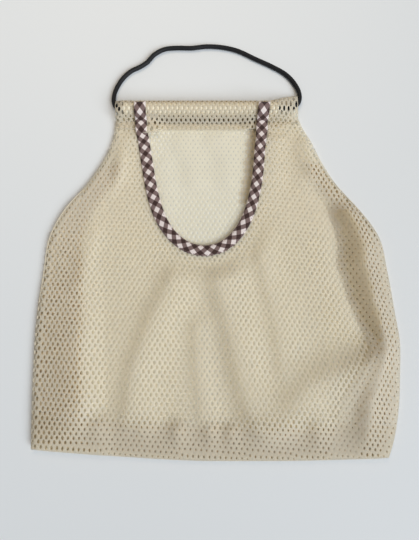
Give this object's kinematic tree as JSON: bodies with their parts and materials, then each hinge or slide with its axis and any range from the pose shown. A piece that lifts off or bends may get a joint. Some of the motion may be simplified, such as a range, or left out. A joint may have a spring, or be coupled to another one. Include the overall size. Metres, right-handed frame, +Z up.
{
  "type": "mesh storage bag",
  "caption": "Flat mesh storage bag with a folded gusset, a deep U-shaped mouth with a bound edge, a casing over a plastic tube, and a braided cord loop as its handle.",
  "frame": {"origin": "on the surface that the bag lies on, under the middle of the bag's box without its cord", "axes": "+X to the right of the bag seen face up, +Y from the bottom seam towards the casing and the handle, +Z up from the surface"},
  "size_m": [0.3813, 0.4591, 0.0201],
  "materials": {
    "mesh": "soft knitted mesh with open holes",
    "binding": "plain-woven brown and white check, cut on the bias",
    "rod": "smooth pale extruded tube",
    "cord": "round braid with a slight sheen"
  },
  "bodies": {
    "root": {"back_panel": "mesh", "front_panel": "mesh", "gusset": "mesh", "binding": "binding", "rod": "rod", "cord": "cord"}
  },
  "joints": []
}
